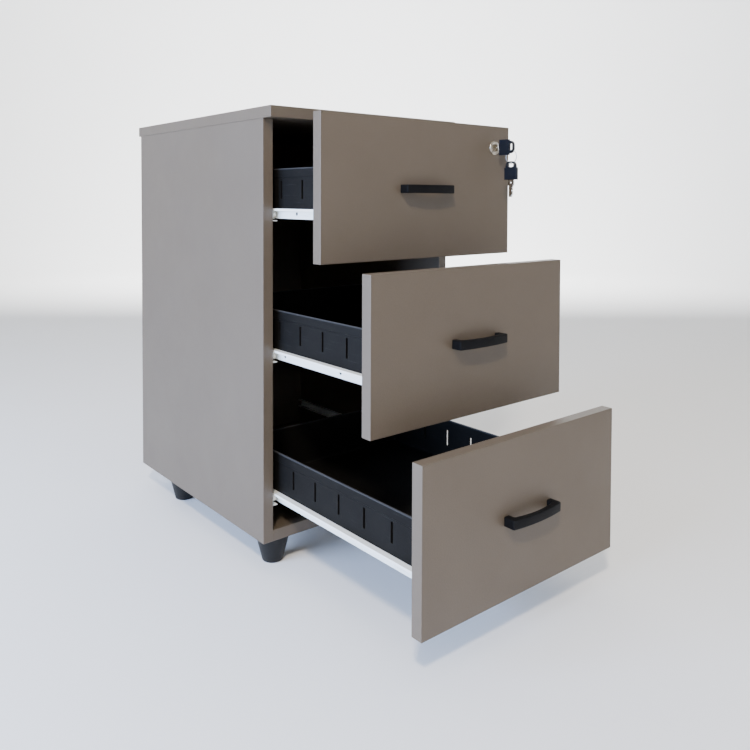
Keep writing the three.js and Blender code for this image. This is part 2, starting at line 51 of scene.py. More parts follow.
drawerNames = ("top", "middle", "bottom")
sideNames = ("left", "right")
print("stage: packed model loaded,", len(nodes), "nodes")


# ---- camera: the lens axis is level to about 2 degrees, with the frame shifted down as in a view camera
viewSettings = {"place": (-0.8106, -1.04705, 0.5925), "yaw": 39.109, "pitch": -1.802, "roll": 0.169,
                "lens": 36.04, "sensor": 36.0, "shift": (0.0153, -0.2041)}


def makeCamera(settings):
    yaw, pitch, roll = (math.radians(settings[k]) for k in ("yaw", "pitch", "roll"))
    ahead = Vector((math.sin(yaw) * math.cos(pitch), math.cos(yaw) * math.cos(pitch), math.sin(pitch)))
    level = Vector((math.cos(yaw), -math.sin(yaw), 0))
    above = level.cross(ahead)
    right = math.cos(roll) * level + math.sin(roll) * above
    up = math.cos(roll) * above - math.sin(roll) * level
    data = bpy.data.cameras.new("studioCamera")
    data.sensor_width = settings["sensor"]
    data.lens = settings["lens"]
    data.shift_x, data.shift_y = settings["shift"]
    data.clip_start, data.clip_end = 0.05, 100
    camera = bpy.data.objects.new("studioCamera", data)
    turn = Matrix((right, up, -ahead)).transposed().to_4x4()
    camera.matrix_world = Matrix.Translation(settings["place"]) @ turn
    bpy.context.scene.collection.objects.link(camera)
    bpy.context.scene.camera = camera


makeCamera(viewSettings)
print("stage: camera")


# ---- colours and nodes
def linearColour(code):
    # each channel c is c / 12.92 up to 0.04045, and ((c + 0.055) / 1.055) to the power 2.4 above it
    channels = [int(code[i:i + 2], 16) / 255 for i in (0, 2, 4)]
    return [c / 12.92 if c <= 0.04045 else ((c + 0.055) / 1.055) ** 2.4 for c in channels] + [1.0]


def addNode(tree, kind, inputs=None, **settings):
    # one node with its settings; an input given as (node, output) is linked, anything else is set
    node = tree.nodes.new("ShaderNode" + kind)
    for key, value in settings.items():
        setattr(node, key, value)
    for socket, value in (inputs or {}).items():
        if isinstance(value, tuple) and isinstance(value[0], bpy.types.Node):
            tree.links.new(value[0].outputs[value[1]], node.inputs[socket])
        else:
            node.inputs[socket].default_value = value
    return node


def perMm(size):
    # a noise of this scale has features about size millimetres across
    return 1000 / size


def startMaterial(name, roughness, metallic=0.0, ior=None, specular=0.5):
    material = bpy.data.materials.new(name)
    material.use_nodes = True
    tree = material.node_tree
    shader = tree.nodes["Principled BSDF"]
    shader.inputs["Metallic"].default_value = metallic
    shader.inputs["Roughness"].default_value = roughness
    shader.inputs["Specular IOR Level"].default_value = specular
    if ior:
        shader.inputs["IOR"].default_value = ior
    where = (addNode(tree, "TexCoord"), "Object")
    return material, tree, shader, where


def between(tree, factor, low, high):
    # a colour or value that goes from low to high with the factor
    return (addNode(tree, "Mix", {0: factor, 6: low, 7: high}, data_type="RGBA"), 2)


def spread(tree, value, fromLow, fromHigh, toLow, toHigh):
    ends = {"From Min": fromLow, "From Max": fromHigh, "To Min": toLow, "To Max": toHigh}
    return (addNode(tree, "MapRange", {"Value": value, **ends}), "Result")


def finishMaterial(tree, shader, colour, roughness, height, depth):
    # depth is the real height of the relief in metres
    bump = addNode(tree, "Bump", {"Strength": 1.0, "Distance": depth, "Height": height})
    tree.links.new(colour[0].outputs[colour[1]], shader.inputs["Base Color"])
    tree.links.new(roughness[0].outputs[roughness[1]], shader.inputs["Roughness"])
    tree.links.new(bump.outputs["Normal"], shader.inputs["Normal"])


def melaminePressed(name, base, dark, fleck, edge, seam, roughness, depth=0.00005):
    # decor paper under melamine resin, pressed against a fine pearl plate: even colour, soft low sheen.
    # The pearl is really 0.4 mm, and is drawn 1.8 mm across so that it shows.
    material, tree, shader, where = startMaterial(name, roughness, ior=1.54)
    cloud = addNode(tree, "TexNoise", {"Vector": where, "Scale": perMm(90), "Detail": 3.0})
    pearl = addNode(tree, "TexNoise",
                    {"Vector": where, "Scale": perMm(1.8), "Detail": 4.0, "Roughness": 0.6})
    cells = addNode(tree, "TexVoronoi", {"Vector": where, "Scale": perMm(2.4)})
    rim = (addNode(tree, "Attribute", attribute_name="rimDistance"), "Fac")
    grain = spread(tree, (pearl, "Fac"), 0.35, 0.65, 0.0, 1.0)
    clouded = spread(tree, (cloud, "Fac"), 0.3, 0.7, 0.0, 1.0)
    toned = between(tree, clouded, linearColour(base), linearColour(dark))
    speckled = between(tree, spread(tree, grain, 0.0, 1.0, 0.0, 0.45), toned, linearColour(fleck))
    # the edge band's glue line is a hair-fine dark line 1.1 mm in from each edge
    line = addNode(tree, "Math", {0: rim, 1: 1.1, 2: 0.16}, operation="COMPARE")
    joined = between(tree, spread(tree, (line, "Value"), 0.0, 1.0, 0.0, 0.5), speckled, linearColour(seam))
    paleMarks = addNode(tree, "TexNoise", {"Vector": where, "Scale": perMm(22), "Detail": 5.0})
    nearEdge = spread(tree, rim, 0.0, 0.9, 1.0, 0.0)
    patches = spread(tree, (paleMarks, "Fac"), 0.45, 0.68, 0.06, 0.4)
    wear = addNode(tree, "Math", {0: nearEdge, 1: patches}, operation="MULTIPLY")
    colour = between(tree, (wear, "Value"), joined, linearColour(edge))
    handled = addNode(tree, "TexNoise",
                      {"Vector": where, "Scale": perMm(160), "Detail": 6.0, "Roughness": 0.65})
    sheen = spread(tree, (handled, "Fac"), 0.3, 0.7, roughness - 0.05, roughness + 0.06)
    relief = addNode(tree, "Math", {0: (pearl, "Fac"), 1: (cells, "Distance")}, operation="ADD")
    finishMaterial(tree, shader, colour, sheen, (relief, "Value"), depth)
    return material


def plasticMoulded(name, base, light, roughness, grain, depth, ior, wearAndRimHighlightHex, wearLevel, specular):
    # injection moulded in a spark-eroded tool: an even fine grain with pale scratches; where a mesh carries a
    # rim mask, the rim is painted paler as a painted highlight
    material, tree, shader, where = startMaterial(name, roughness, ior=ior, specular=specular)
    skin = addNode(tree, "TexVoronoi", {"Vector": where, "Scale": perMm(grain)})
    fine = addNode(tree, "TexNoise", {"Vector": where, "Scale": perMm(grain * 0.7), "Detail": 3.0})
    flow = addNode(tree, "TexNoise",
                   {"Vector": where, "Scale": perMm(55), "Detail": 4.0, "Distortion": 0.6})
    flowed = spread(tree, (flow, "Fac"), 0.3, 0.7, 0.0, 1.0)
    toned = between(tree, flowed, linearColour(base), linearColour(light))
    # scratches are long thin streaks: the noise is stretched 40 to 1
    streaks = {"Vector": where, "Scale": (1.0, 0.025, 1.0), "Rotation": (0.0, 0.0, 0.5)}
    stretched = addNode(tree, "Mapping", streaks)
    scratch = addNode(tree, "TexNoise",
                      {"Vector": (stretched, "Vector"), "Scale": perMm(1.3), "Detail": 2.0})
    scratched = spread(tree, (scratch, "Fac"), 0.66, 0.74, 0.0, wearLevel)
    rim = (addNode(tree, "Attribute", attribute_name="rubbedRim"), "Fac")
    # painted highlight: the rim is painted pale, to three quarters of the wear colour
    rimHighlightShare = spread(tree, rim, 0.0, 1.0, 0.0, 0.75)
    # the scratches are wear; the rim share is a painted highlight
    paleMarks = addNode(tree, "Math", {0: scratched, 1: rimHighlightShare}, operation="MAXIMUM")
    colour = between(tree, (paleMarks, "Value"), toned, linearColour(wearAndRimHighlightHex))
    sheen = spread(tree, (fine, "Fac"), 0.3, 0.7, roughness - 0.06, roughness + 0.08)
    relief = addNode(tree, "Math", {0: (skin, "Distance"), 1: (fine, "Fac")}, operation="ADD")
    finishMaterial(tree, shader, colour, sheen, (relief, "Value"), depth)
    return material


def steelPowderCoated(name, base, shade, chip, roughness, depth=0.00006):
    # rolled steel under polyester powder: glossy with an orange-peel ripple about 2 mm across
    material, tree, shader, where = startMaterial(name, roughness, ior=1.5)
    peel = addNode(tree, "TexNoise", {"Vector": where, "Scale": perMm(2.2), "Detail": 2.0})
    tone = addNode(tree, "TexNoise", {"Vector": where, "Scale": perMm(70), "Detail": 3.0})
    along = addNode(tree, "Mapping", {"Vector": where, "Scale": (1.0, 0.04, 1.0)})
    track = addNode(tree, "TexNoise", {"Vector": (along, "Vector"), "Scale": perMm(3.0), "Detail": 3.0})
    shaded = spread(tree, (tone, "Fac"), 0.3, 0.7, 0.0, 1.0)
    toned = between(tree, shaded, linearColour(base), linearColour(shade))
    colour = between(tree, spread(tree, (track, "Fac"), 0.6, 0.75, 0.0, 0.35), toned, linearColour(chip))
    sheen = spread(tree, (peel, "Fac"), 0.3, 0.7, roughness - 0.05, roughness + 0.07)
    finishMaterial(tree, shader, colour, sheen, (peel, "Fac"), depth)
    return material


def metalPlated(name, base, dull, roughness, stretch, grain, depth):
    # plated metal: polished or drawn first, so the fine lines under the plating run along one way
    material, tree, shader, where = startMaterial(name, roughness, metallic=1.0)
    along = addNode(tree, "Mapping", {"Vector": where, "Scale": stretch})
    lines = addNode(tree, "TexNoise", {"Vector": (along, "Vector"), "Scale": perMm(grain), "Detail": 3.0})
    blotch = addNode(tree, "TexNoise", {"Vector": where, "Scale": perMm(5), "Detail": 4.0})
    dulled = spread(tree, (blotch, "Fac"), 0.35, 0.7, 0.0, 1.0)
    colour = between(tree, dulled, linearColour(base), linearColour(dull))
    sheen = spread(tree, (lines, "Fac"), 0.3, 0.7, max(roughness - 0.08, 0.05), roughness + 0.1)
    finishMaterial(tree, shader, colour, sheen, (lines, "Fac"), depth)
    return material


finishes = {
    "board": melaminePressed("melamineBoardPressed", "584d40", "554a3d", "5f5446", "726658", "2a241d", 0.5),
    "band": melaminePressed("absEdgeBandExtruded", "5a4f42", "574c3f", "5f5446", "756a5c", "5a4f42", 0.44),
    "foot": plasticMoulded("polypropyleneFootMoulded", "100f0e", "141312",
                           0.5, 1.4, 0.00006, 1.49, "4a4c4f", 0.2, 0.3),
    "handle": plasticMoulded("absHandleMoulded", "0f0f10", "131315",
                             0.48, 1.2, 0.00003, 1.54, "33363b", 0.12, 0.07),
    # the tray's wear colour also serves as the colour of its painted rim highlight
    "tray": plasticMoulded("polystyreneTrayMoulded", "100f0e", "141312",
                           0.5, 1.8, 0.00006, 1.59, "48494b", 0.14, 0.06),
    "key": plasticMoulded("absKeyHeadMoulded", "0a0e16", "0e131d",
                          0.34, 1.0, 0.00002, 1.54, "35393f", 0.12, 0.3),
    "roller": plasticMoulded("acetalRollerMoulded", "e3dfd2", "d8d3c4",
                             0.34, 1.0, 0.00002, 1.48, "8c867a", 0.4, 0.5),
    "runner": steelPowderCoated("steelRunnerPowderCoated", "f3f4ef", "eaebe4", "b5b3aa", 0.34),
    "nickel": metalPlated("nickelLockPolished", "cfc6b6", "a89f90", 0.12, (1.0, 1.0, 1.0), 1.2, 0.000008),
    "zinc": metalPlated("zincSteelPlated", "bcc0c4", "a3a7ab", 0.34, (1.0, 0.1, 1.0), 1.5, 0.000012),
}
print("stage: materials,", len(finishes))


# ---- surfaces
def sheetFaces(rows, columns, loopRows=False, loopColumns=True):
    # quads between row i and i + 1, column j and j + 1; a looped way joins its last to its first
    i = np.arange(rows if loopRows else rows - 1)[:, None]
    j = np.arange(columns if loopColumns else columns - 1)[None, :]
    iNext, jNext = (i + 1) % rows, (j + 1) % columns
    corners = (i * columns + j, i * columns + jNext, iNext * columns + jNext, iNext * columns + j)
    return np.stack([c.ravel() for c in corners], axis=1)


def makePiece(name, points, faces, finish, body, stands=(), sharpAngle=32):
    # points are in millimetres; coincident ones are merged and every face turned outwards
    mesh = bpy.data.meshes.new(name)
    mesh.from_pydata((np.asarray(points).reshape(-1, 3) * mm).tolist(), [], np.asarray(faces).tolist())
    work = bmesh.new()
    work.from_mesh(mesh)
    bmesh.ops.remove_doubles(work, verts=work.verts, dist=0.002 * mm)
    bmesh.ops.recalc_face_normals(work, faces=work.faces)
    work.to_mesh(mesh)
    work.free()
    mesh.materials.append(finishes[finish])
    piece = bpy.data.objects.new(name, mesh)
    bpy.context.scene.collection.objects.link(piece)
    if body:
        smoothPiece(piece, sharpAngle)
        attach(piece, body)
        if stands:
            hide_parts(*stands)
    return piece


def smoothPiece(piece, sharpAngle):
    piece.data.polygons.foreach_set("use_smooth", np.ones(len(piece.data.polygons), bool))
    piece.data.set_sharp_from_angle(angle=math.radians(sharpAngle))


def corner(node, which):
    return np.array(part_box(node)[which]) / mm


def meshPoints(mesh):
    spots = np.zeros(len(mesh.vertices) * 3)
    mesh.vertices.foreach_get("co", spots)
    return spots.reshape(-1, 3)


def writeAttribute(mesh, name, values):
    mesh.attributes.new(name, "FLOAT", "POINT").data.foreach_set("value", values.astype(np.float32))


def turned(profile, centre, axis, around):
    # a profile of (radius, distance along the axis), carried round the axis
    profile = np.asarray(profile, float)
    angle = np.linspace(0, 2 * math.pi, around, endpoint=False)
    rings = np.zeros((len(profile), around, 3))
    first, second = [k for k in range(3) if k != axis]
    rings[:, :, first] = profile[:, :1] * np.cos(angle)
    rings[:, :, second] = profile[:, :1] * np.sin(angle)
    rings[:, :, axis] = profile[:, 1:]
    return rings + np.asarray(centre, float)


def arcPoints(centre, radius, start, end, steps):
    # points on an arc, from the start angle to the end angle in degrees
    angle = np.radians(np.linspace(start, end, steps))
    return [(centre[0] + radius * math.cos(a), centre[1] + radius * math.sin(a)) for a in angle]


# ---- boards: 18 mm chipboard with an ABS band on every edge, its corners rounded to 0.8 mm
boardShape = {"rounding": 0.8, "arcSteps": 4, "lines": (0.94, 1.02, 1.18, 1.26, 5.0, 16.0)}
boardThin = {"top_panel": 2, "left_side_panel": 0, "right_side_panel": 0, "bottom_panel": 2, "back_panel": 1,
             "top_drawer_front": 1, "middle_drawer_front": 1, "bottom_drawer_front": 1}


def roundedBoard(node, thin, shape):
    # a point on the plain box is pulled back to the box shrunk by the radius, then pushed out by the radius
    low, high = corner(node, 0), corner(node, 1)
    half, radius = (high - low) / 2, shape["rounding"]
    lines = []
    for k in range(3):
        near = radius * np.tan(np.linspace(math.pi / 4, 0, shape["arcSteps"]))
        marks = [half[k] - m for m in shape["lines"] if m < half[k] - 0.5]
        positive = np.concatenate([half[k] - radius + near, marks])
        lines.append(np.unique(np.concatenate([-positive, positive])))
    points, faces, start = [], [], 0
    for k in range(3):
        a, b = (k + 1) % 3, (k + 2) % 3
        u, v = np.meshgrid(lines[a], lines[b], indexing="ij")
        for side in (-1, 1):
            flat = np.zeros((*u.shape, 3))
            flat[..., a], flat[..., b], flat[..., k] = u, v, side * half[k]
            core = np.clip(flat, radius - half, half - radius)
            away = flat - core
            away /= np.linalg.norm(away, axis=-1, keepdims=True)
            points.append((core + radius * away + (low + high) / 2).reshape(-1, 3))
            faces.append(sheetFaces(*u.shape, loopColumns=False) + start)
            start += u.size
    body = bodyOfNode[node]
    piece = makePiece(node + "_board", np.concatenate(points), np.concatenate(faces), "board", body,
                      [node], sharpAngle=50)
    piece.data.materials.append(finishes["band"])
    # faces that don't look along the thickness belong to the edge band
    normals = np.zeros(len(piece.data.polygons) * 3)
    piece.data.polygons.foreach_get("normal", normals)
    onBand = np.abs(normals.reshape(-1, 3)[:, thin]) < 0.5
    piece.data.polygons.foreach_set("material_index", onBand.astype(np.int32))
    # millimetres from the nearest arris: a point is at zero from its own face, so it is the next distance up
    inward = half - np.abs(meshPoints(piece.data) / mm - (low + high) / 2)
    distance = np.sort(inward, axis=1)[:, 1]
    writeAttribute(piece.data, "rimDistance", distance)


for boardName, thinAxis in boardThin.items():
    roundedBoard(boardName, thinAxis, boardShape)
print("stage: boards,", len(boardThin))


# ---- feet: a cone with a rounded lower rim, a fine groove under its collar
footShape = {"sole": 14.0, "rim": 3.5, "top": 28.5, "height": 50.0, "collar": 4.0, "groove": 0.7,
             "soleHollow": 0.8, "topRound": 0.6, "around": 72}


def taperedFoot(node, shape):
    # the profile runs from the middle of the sole out and up to the top, then back to the middle
    low, high = corner(node, 0), corner(node, 1)
    sole, rim, top, height = (shape[k] for k in ("sole", "rim", "top", "height"))
    hollow, topRound = shape["soleHollow"], shape["topRound"]
    wallTop, grooveRadius = height - shape["collar"], top - shape["groove"] - 0.2
    profile = [(0, hollow), (sole - 4, hollow), (sole - 3.2, 0)]
    profile += arcPoints((sole, rim), rim, -90, -8, 7)
    profile += [(sole + rim + (top - sole - rim) * t, rim + (wallTop - rim) * t)
                for t in (0.06, 0.3, 0.6, 0.9, 0.985)]
    profile += [(grooveRadius, wallTop + 0.1), (grooveRadius, wallTop + 0.7), (top - 0.4, wallTop + 0.9)]
    profile += arcPoints((top - 0.5, wallTop + 1.5), 0.5, -60, 0, 3)
    profile += arcPoints((top - topRound, height - topRound), topRound, 0, 90, 4)
    profile += [(top - 4, height), (0, height)]
    centre = ((low[0] + high[0]) / 2, (low[1] + high[1]) / 2, 0)
    rings = turned(profile, centre, 2, shape["around"])
    makePiece(node + "_moulding", rings, sheetFaces(*rings.shape[:2]), "foot", "cabinet",
              [node])


for row in ("front", "rear"):
    for side in sideNames:
        taperedFoot(f"foot_{row}_{side}", footShape)
print("stage: feet")


# ---- trays: one-piece moulding, stepped band round the top, slots for dividers in both long walls
# the depth under the rim given for the painted rim highlight also places a ring of points at its foot
trayShape = {"wall": 2.5, "corner": 14.0, "band": 14.0, "step": 1.0, "underRound": 3.0, "floorRound": 4.0,
             "lip": 0.8, "slotFirst": 70.0, "slotPitch": 57.6, "slotCount": 7, "slotWidth": 4.5,
             "slotLow": 29.0, "slotHigh": 58.0, "slotRound": 1.2, "slotCornerSteps": 4, "barPastWall": 9,
             "screwRoom": 5.5, "screwBar": (-4, 7), "screwAround": 32, "rimHighlightDepth": 2.2,
             "floorInset": 11, "cornerSteps": 7}


def roundedOutline(halfAcross, halfAlong, radius, inset, cornerSteps):
    # a rectangle with round corners, pulled in by inset: the corner centres stay and the radius shrinks
    angle = np.radians(np.linspace(0, 90, cornerSteps))
    parts = []
    for turn, (sx, sy) in enumerate(((1, 1), (-1, 1), (-1, -1), (1, -1))):
        a = angle + turn * math.pi / 2
        small = radius - inset
        across = sx * (halfAcross - radius) + small * np.cos(a)
        along = sy * (halfAlong - radius) + small * np.sin(a)
        parts.append(np.stack([across, along], 1))
    return np.concatenate(parts)


def mouldedTray(name, shape):
    # rings of the outline: along the underside, up the wall, over the rim, down inside and in along the floor
    node = name + "_drawer_tray"
    low, high = corner(node, 0), corner(node, 1)
    half = (high - low) / 2 - [shape["step"], shape["step"], 0]
    top, wall, band = high[2] - low[2], shape["wall"], high[2] - low[2] - shape["band"]
    under, floor, lip = shape["underRound"], shape["floorRound"], shape["lip"]
    # from this height up to the rim the tray is painted paler as a highlight
    rimHighlightFrom = top - shape["rimHighlightDepth"]
    rings = [(shape["floorInset"], 0)]
    rings += [(under - x, z) for x, z in arcPoints((0, under), under, -90, 0, 6)]
    rings += [(0, band - 1.2), (-0.05, band - 0.5)]
    rings += [(-shape["step"] * 0.7, band), (-shape["step"], band + 0.4), (-shape["step"], rimHighlightFrom)]
    rings += [(-x, z) for x, z in arcPoints((shape["step"] - lip, top - lip), lip, 0, 90, 5)]
    rings += [(wall - lip + lip * math.cos(a), top - lip + lip * math.sin(a))
              for a in np.radians((90, 60, 30, 0))]
    rings += [(wall, rimHighlightFrom), (wall, band), (wall, wall + floor + 0.6)]
    rings += [(wall + floor - floor * math.cos(a), wall + floor - floor * math.sin(a))
              for a in np.radians((0, 18, 36, 54, 72, 90))]
    rings += [(shape["floorInset"], wall)]
    loops = []
    for inset, height in rings:
        outline = roundedOutline(half[0], half[1], shape["corner"], inset, shape["cornerSteps"])
        loops.append(np.column_stack([outline, np.full(len(outline), height)]))
    middleLine = np.zeros_like(loops[0])
    loops = [middleLine] + loops + [middleLine + [0, 0, wall]]
    points = np.array(loops) + [(low[0] + high[0]) / 2, (low[1] + high[1]) / 2, low[2]]
    tray = makePiece(node + "_moulding", points, sheetFaces(*points.shape[:2]), "tray", None)
    cutter = openingCutter(name, low, high, shape)
    change = tray.modifiers.new("openings", "BOOLEAN")
    change.object, change.solver = cutter, "EXACT"
    cutMesh = bpy.data.meshes.new_from_object(tray.evaluated_get(bpy.context.evaluated_depsgraph_get()))
    tray.modifiers.clear()
    tray.data = cutMesh
    bpy.data.objects.remove(cutter)
    smoothPiece(tray, 32)
    # painted highlight: 1 on the rim, fading to 0 a little below it
    paleMarks = np.clip(1 - (high[2] - meshPoints(cutMesh)[:, 2] / mm) / shape["rimHighlightDepth"], 0, 1)
    writeAttribute(cutMesh, "rubbedRim", paleMarks)
    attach(tray, name + "_drawer")
    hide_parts(node)


def openingCutter(name, low, high, shape):
    # seven bars across both long walls, and a round bar through the front wall at each handle screw
    points, faces, start = [], [], 0
    frontBack = corner(name + "_drawer_front", 1)[1]
    slotUp = (shape["slotHigh"] - shape["slotLow"]) / 2
    middleUp = low[2] + (shape["slotLow"] + shape["slotHigh"]) / 2
    past = shape["barPastWall"]
    for count in range(shape["slotCount"]):
        y = frontBack + shape["slotFirst"] + count * shape["slotPitch"]
        outline = roundedOutline(shape["slotWidth"] / 2, slotUp, shape["slotRound"], 0,
                                 shape["slotCornerSteps"])
        ends = [np.column_stack([np.full(len(outline), x), outline[:, 0] + y, outline[:, 1] + middleUp])
                for x in (low[0] - past, high[0] + past)]
        closing = [np.ones((len(outline), 1)) * e.mean(0) for e in ends]
        rings = np.array([closing[0], ends[0], ends[1], closing[1]])
        points.append(rings.reshape(-1, 3))
        faces.append(sheetFaces(*rings.shape[:2]) + start)
        start += len(points[-1])
    for side in sideNames:
        screw = (corner(f"{name}_handle_screw_{side}", 0) + corner(f"{name}_handle_screw_{side}", 1)) / 2
        near, far = shape["screwBar"]
        profile = [(0, near), (shape["screwRoom"], near), (shape["screwRoom"], far), (0, far)]
        rings = turned(profile, (screw[0], frontBack, screw[2]), 1, shape["screwAround"])
        points.append(rings.reshape(-1, 3))
        faces.append(sheetFaces(*rings.shape[:2]) + start)
        start += len(points[-1])
    return makePiece("openingCutter", np.concatenate(points), np.concatenate(faces), "tray", None)


for drawer in drawerNames:
    mouldedTray(drawer, trayShape)
print("stage: trays")


# ---- handles: a bow seen from above, with rounded edges all round
handleShape = {"length": 100.0, "height": 13.0, "endReach": 17.0, "reach": 21.0, "leg": 10.0, "grip": 7.5,
               "rounding": 1.5, "outerCorner": 2.5, "gapCorner": 4.0, "sectionSteps": 5,
               "curveSteps": (5, 8, 33)}


def bend(start, control, end, steps):
    # a parabola: (1 - t)^2 start + 2 t (1 - t) control + t^2 end
    t = np.linspace(0, 1, steps)[:, None]
    return (1 - t) ** 2 * np.array(start) + 2 * t * (1 - t) * np.array(control) + t ** 2 * np.array(end)


def bowCurve(end, reach, middleReach, cornerSize, root, steps):
    # leg, corner, bow, corner, leg, as (across, forward)
    bow = 2 * middleReach - reach
    legSteps, cornerSteps, bowSteps = steps
    left = [bend((-end, 0), (-end, -root / 2), (-end, -root), legSteps),
            bend((-end, -root), (-end, -reach), (-end + cornerSize, -reach), cornerSteps)]
    curve = left + [bend((-end + cornerSize, -reach), (0, -bow), (end - cornerSize, -reach), bowSteps)]
    return np.concatenate(curve + [piece[::-1] * [-1, 1] for piece in left[::-1]])


def bowHandle(name, shape):
    # at each step the section is a rounded rectangle, from the inner curve to the outer one
    node = name + "_handle"
    low, high = corner(node, 0), corner(node, 1)
    outer = bowCurve(shape["length"] / 2, shape["endReach"], shape["reach"], shape["outerCorner"],
                     shape["endReach"] - shape["outerCorner"], shape["curveSteps"])
    inner = bowCurve(shape["length"] / 2 - shape["leg"], shape["endReach"] - shape["grip"],
                     shape["reach"] - shape["grip"], shape["gapCorner"],
                     shape["endReach"] - shape["grip"] - shape["gapCorner"], shape["curveSteps"])
    middle, toOuter = (outer + inner) / 2, (outer - inner) / 2
    halfWide = np.linalg.norm(toOuter, axis=1)[:, None]
    direction = toOuter / halfWide
    rounding, halfUp, steps = shape["rounding"], shape["height"] / 2, shape["sectionSteps"]
    angle = np.radians(np.concatenate([np.linspace(q, q + 90, steps) for q in (0, 90, 180, 270)]))
    cosine, sine = np.cos(angle), np.sin(angle)
    signWide = np.repeat([1, -1, -1, 1], steps)
    signUp = np.repeat([1, 1, -1, -1], steps)
    wide = signWide * (halfWide - rounding) + rounding * cosine
    up = signUp * (halfUp - rounding) + rounding * sine
    rings = np.zeros((len(middle), len(angle), 3))
    rings[:, :, :2] = middle[:, None, :] + direction[:, None, :] * wide[:, :, None]
    rings[:, :, 2] = up
    closing = [np.ones((1, len(angle), 1)) * rings[k].mean(0) for k in (0, -1)]
    rings = np.concatenate([closing[0], rings, closing[1]])
    points = rings + [0, high[1], (low[2] + high[2]) / 2]
    makePiece(node + "_moulding", points, sheetFaces(*points.shape[:2]), "handle", name + "_drawer",
              [node])


for drawer in drawerNames:
    bowHandle(drawer, handleShape)
print("stage: handles")


# ---- handle screws: pan heads with a cross recess, behind the drawer fronts
screwShape = {"shank": 2.0, "head": 4.2, "headHeight": 2.6, "recess": 1.5, "armHalf": 0.55, "armReach": 2.3,
              "edge": 0.3, "around": 48}


def panScrew(node, body, shape):
    # the head is a flattened dome, sunk wherever a point lies on one of the cross's two arms
    low, high = corner(node, 0), corner(node, 1)
    middle = (low + high) / 2
    headStart = high[1] - shape["headHeight"] + shape["edge"]
    radii = np.concatenate([[0], np.linspace(0.25, 3.2, 13), [3.6, 3.9, 4.1, 4.2]])
    dome = shape["headHeight"] - shape["edge"] - 1.5 * (radii / shape["head"]) ** 4
    profile = [(r, headStart + d) for r, d in zip(radii, dome)]
    profile += [(shape["head"], headStart), (shape["shank"], headStart)]
    profile += [(shape["shank"], low[1]), (0, low[1])]
    rings = turned(profile, (middle[0], 0, middle[2]), 1, shape["around"])
    across, up = np.abs(rings[..., 0] - middle[0]), np.abs(rings[..., 2] - middle[2])
    arm = np.minimum(across, up) < shape["armHalf"]
    reach = np.maximum(across, up)
    onHead = (np.arange(len(profile)) < len(radii))[:, None]
    sink = np.clip((shape["armReach"] - reach) / shape["armReach"] * 2, 0, 1) * shape["recess"]
    rings[..., 1] -= np.where(arm & onHead, sink, 0)
    makePiece(node + "_turned", rings, sheetFaces(*rings.shape[:2]), "zinc", body, [node],
              sharpAngle=40)


for drawer in drawerNames:
    for side in sideNames:
        panScrew(f"{drawer}_handle_screw_{side}", drawer + "_drawer", screwShape)
print("stage: screws")


# ---- rollers: moulded wheels with a rounded tread and a raised hub
rollerShape = {"bore": 2.7, "hub": 3.8, "dish": 0.5, "treadRound": 0.8, "around": 48}


def runnerRoller(node, shape):
    # the profile goes once round the wheel's section: bore, hub, dished web, rounded tread, and back
    low, high = corner(node, 0), corner(node, 1)
    middle, half = (low + high) / 2, (high[0] - low[0]) / 2
    radius, rounding, dish = (high[2] - low[2]) / 2, shape["treadRound"], shape["dish"]
    outside = [(shape["bore"], half - 0.3), (shape["bore"] + 0.3, half), (shape["hub"] - 0.2, half),
               (shape["hub"], half - dish), (radius - 1.5, half - dish), (radius - 1.3, half - 0.1)]
    outside += [(radius - rounding + rounding * math.cos(a), half - rounding + rounding * math.sin(a))
                for a in np.radians((90, 60, 30, 0))]
    profile = outside + [(r, -x) for r, x in outside[::-1]]
    rings = turned(profile, middle, 0, shape["around"])
    makePiece(node + "_wheel", rings, sheetFaces(*rings.shape[:2], loopRows=True), "roller",
              bodyOfNode[node], [node])


for drawer in drawerNames:
    for side in sideNames:
        runnerRoller(f"{drawer}_front_roller_{side}", rollerShape)
        runnerRoller(f"{drawer}_rear_roller_{side}", rollerShape)
print("stage: rollers")


# ---- lock rosette and barrel, and the wire ring
lockShape = {"bore": 6.3, "rosette": 12.0, "thick": 2.6, "barrel": 8.9, "thread": 0.3, "pitch": 1.5,
             "chamfer": 0.4, "dish": 0.35, "edgeRound": 1.6, "around": 96}
ringShape = {"mean": 11.0, "wire": 0.6, "around": 96, "sectionAround": 12}


def lockBody(shape):
    # a thin dished collar in front of a threaded barrel; the thread is a cosine along the barrel
    node = "lock_housing"
    low, high = corner(node, 0), corner(node, 1)
    face = low[1]
    back = face + shape["thick"] - 0.3
    bore, rosette, barrel, pitch = (shape[k] for k in ("bore", "rosette", "barrel", "pitch"))
    chamfer, dish, edgeRound = shape["chamfer"], shape["dish"], shape["edgeRound"]
    profile = [(bore, face + chamfer), (bore + chamfer, face), (bore + 1.3, face), (bore + 1.7, face + dish)]
    profile += [(rosette - 2.6, face + dish), (rosette - 2.2, face + 0.1)]
    profile += [(rosette - edgeRound + edgeRound * math.sin(a), back - 1.8 * math.cos(a))
                for a in np.radians(np.linspace(0, 90, 8))]
    profile += [(barrel, back)]
    along = np.arange(back + 4, high[1] - chamfer, pitch / 6)
    profile += [(barrel - shape["thread"] * (0.5 - 0.5 * math.cos(2 * math.pi * y / pitch)), y)
                for y in along]
    profile += [(barrel - chamfer, high[1]), (bore, high[1])]
    rings = turned(profile, ((low[0] + high[0]) / 2, 0, (low[2] + high[2]) / 2), 1, shape["around"])
    makePiece(node + "_turned", rings, sheetFaces(*rings.shape[:2], loopRows=True), "nickel", "top_drawer",
              [node])


